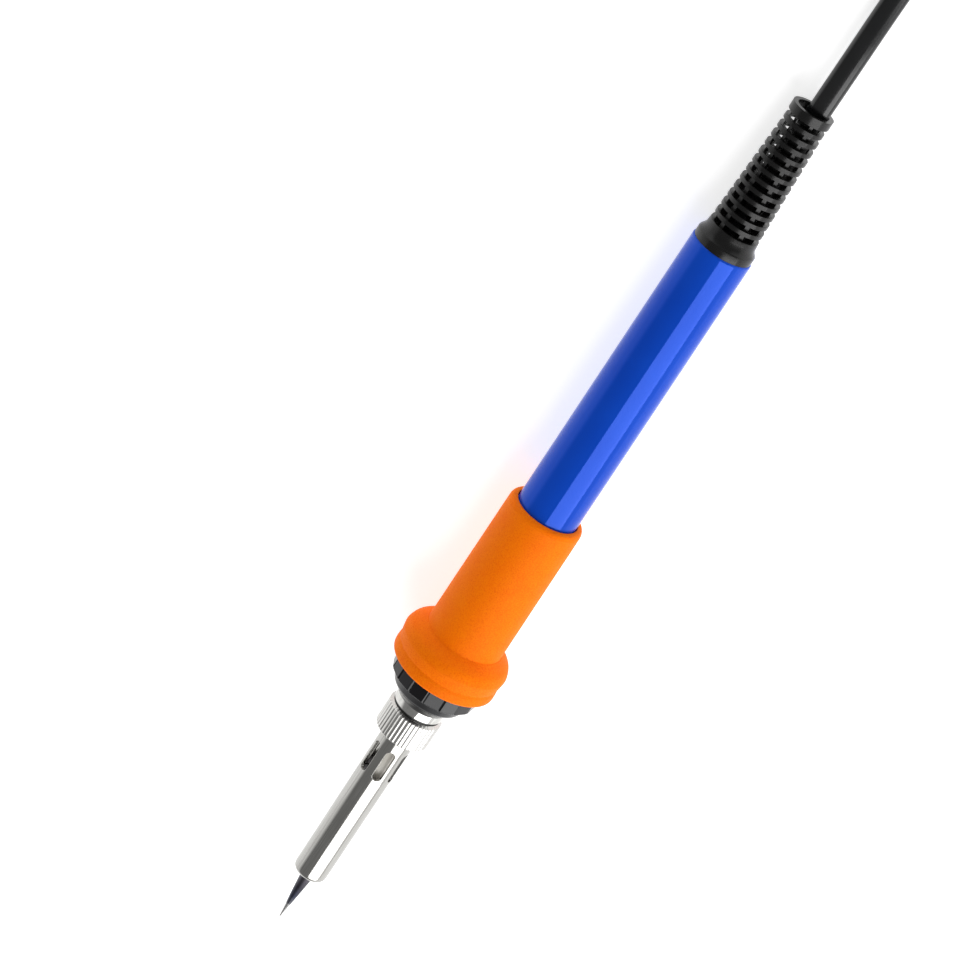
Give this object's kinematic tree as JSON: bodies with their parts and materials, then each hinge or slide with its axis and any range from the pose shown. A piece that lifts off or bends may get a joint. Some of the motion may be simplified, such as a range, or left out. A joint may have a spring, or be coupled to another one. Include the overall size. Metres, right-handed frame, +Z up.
{
  "type": "soldering iron",
  "caption": "Pencil soldering iron with a soft grip, a screwed-on slotted tip barrel, a conical tip and a flat mains cord folded into a hank with its plug.",
  "frame": {"origin": "on the surface the iron lies on, under the middle of its length and on its axis in plan", "axes": "+X along the iron towards the soldering tip, +Z up; the iron's own axis rises 3.06 degrees towards the tip, because it rests on the handle's rear edge and on the grip's crest"},
  "size_m": [0.4052, 0.0451, 0.0301],
  "materials": {
    "tip": "iron-plated copper, bright at the point",
    "tip_barrel": "satin stainless steel",
    "barrel_nut": "straight-knurled stainless steel",
    "thread_sleeve": "polished, plated",
    "front_collar": "black, glossy",
    "grip_sleeve": "orange soft-touch, finely textured",
    "handle_tube": "blue, glossy",
    "heater_rod": "white alumina ceramic",
    "insulator_bush": "white ceramic",
    "heater_lead_left": "nickel wire",
    "heater_lead_right": "nickel wire",
    "lead_sleeve_left": "woven glass sleeving",
    "lead_sleeve_right": "woven glass sleeving",
    "terminal_board": "brown laminate",
    "terminal_left": "stamped, tinned inside",
    "terminal_right": "stamped, tinned inside",
    "terminal_rivets": "plain",
    "core_brown": "brown insulation",
    "core_blue": "blue insulation",
    "core_strands": "stranded copper",
    "inner_cord": "black flat jacket",
    "cord_ferrule": "crimped",
    "strain_relief": "black moulded rubber",
    "cord": "black flat jacket",
    "cord_hank": "black flat jacket",
    "hank_ties": "coated wire ties",
    "cord_end": "black flat jacket",
    "plug_tail": "black moulded, ribbed",
    "plug_body": "black, finely textured",
    "plug_pin_left": "nickel-plated brass",
    "plug_pin_right": "nickel-plated brass",
    "pin_sleeve_left": "black insulating sleeve",
    "pin_sleeve_right": "black insulating sleeve"
  },
  "bodies": {
    "handle": {"thread_sleeve": "thread_sleeve", "front_collar": "front_collar", "grip_sleeve": "grip_sleeve", "handle_tube": "handle_tube", "heater_rod": "heater_rod", "insulator_bush": "insulator_bush", "heater_lead_left": "heater_lead_left", "heater_lead_right": "heater_lead_right", "lead_sleeve_left": "lead_sleeve_left", "lead_sleeve_right": "lead_sleeve_right", "terminal_board": "terminal_board", "terminal_left": "terminal_left", "terminal_right": "terminal_right", "terminal_rivets": "terminal_rivets", "core_brown": "core_brown", "core_blue": "core_blue", "core_strands": "core_strands", "inner_cord": "inner_cord", "cord_ferrule": "cord_ferrule", "strain_relief": "strain_relief", "cord": "cord", "cord_hank": "cord_hank", "hank_ties": "hank_ties", "cord_end": "cord_end", "plug_tail": "plug_tail", "plug_body": "plug_body", "plug_pin_left": "plug_pin_left", "plug_pin_right": "plug_pin_right", "pin_sleeve_left": "pin_sleeve_left", "pin_sleeve_right": "pin_sleeve_right"},
    "tip": {"tip": "tip"},
    "barrel": {"tip_barrel": "tip_barrel"},
    "nut": {"barrel_nut": "barrel_nut"}
  },
  "joints": [
    {"name": "tip_pull", "type": "slide", "parent": "handle", "child": "tip", "axis": [0.9986, 0, 0.0533], "range_m": [0, 0.05]},
    {"name": "barrel_advance", "type": "slide", "parent": "tip", "child": "barrel", "axis": [0.9986, 0, 0.0533], "range_m": [0, 0.005]},
    {"name": "nut_turn", "type": "hinge", "parent": "barrel", "child": "nut", "pos_m": [0.05083, 0, 0.01359], "axis": [0.9986, 0, 0.0533], "range_deg": [0, 1800]}
  ],
  "couplings": [
    {"joint": "nut_turn", "follows": "barrel_advance", "rad_per_m": 6283.2}
  ]
}
